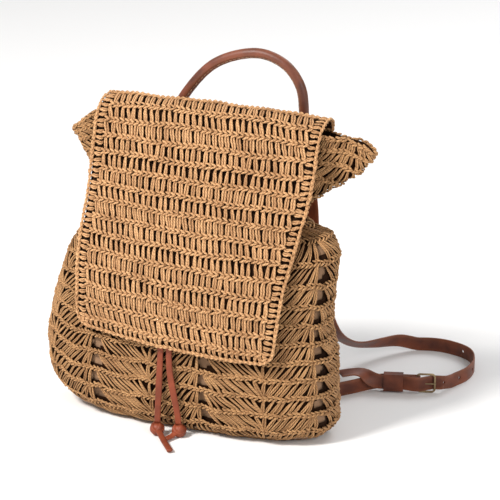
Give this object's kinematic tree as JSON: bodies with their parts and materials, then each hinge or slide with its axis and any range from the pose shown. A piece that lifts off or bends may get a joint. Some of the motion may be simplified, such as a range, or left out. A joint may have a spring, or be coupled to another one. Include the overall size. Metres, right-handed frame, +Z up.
{
  "type": "woven straw backpack",
  "caption": "Crocheted straw backpack with a fold-over flap, rolled leather handle, knotted lace drawstring and buckled leather shoulder straps.",
  "frame": {"origin": "middle of the pouch's flat base, on the surface it stands on", "axes": "+X to the bag's right as seen from the front, -Y towards the front with the flap, +Z up"},
  "size_m": [0.3739, 0.3614, 0.3603],
  "materials": {
    "straw": "crocheted twisted paper-straw cord, matt",
    "lining_cloth": "plain tan cotton",
    "strap_leather": "smooth reddish brown, slightly waxed",
    "lace_leather": "soft brown thong",
    "buckle_metal": "aged, dull"
  },
  "bodies": {
    "root": {"straw_pouch": "straw", "pouch_lining": "lining_cloth", "straw_flap": "straw", "flap_lining": "lining_cloth", "top_handle": "strap_leather", "sewn_patch_right": "strap_leather", "sewn_patch_left": "strap_leather", "shoulder_strap_right": "strap_leather", "shoulder_strap_left": "strap_leather", "short_strap_right": "strap_leather", "short_strap_left": "strap_leather", "keeper_right": "strap_leather", "keeper_left": "strap_leather", "buckle_right": "buckle_metal", "buckle_left": "buckle_metal", "prong_right": "buckle_metal", "prong_left": "buckle_metal", "drawstring": "lace_leather", "lace_left": "lace_leather", "lace_right": "lace_leather", "knot_left": "lace_leather", "knot_right": "lace_leather"}
  },
  "joints": []
}
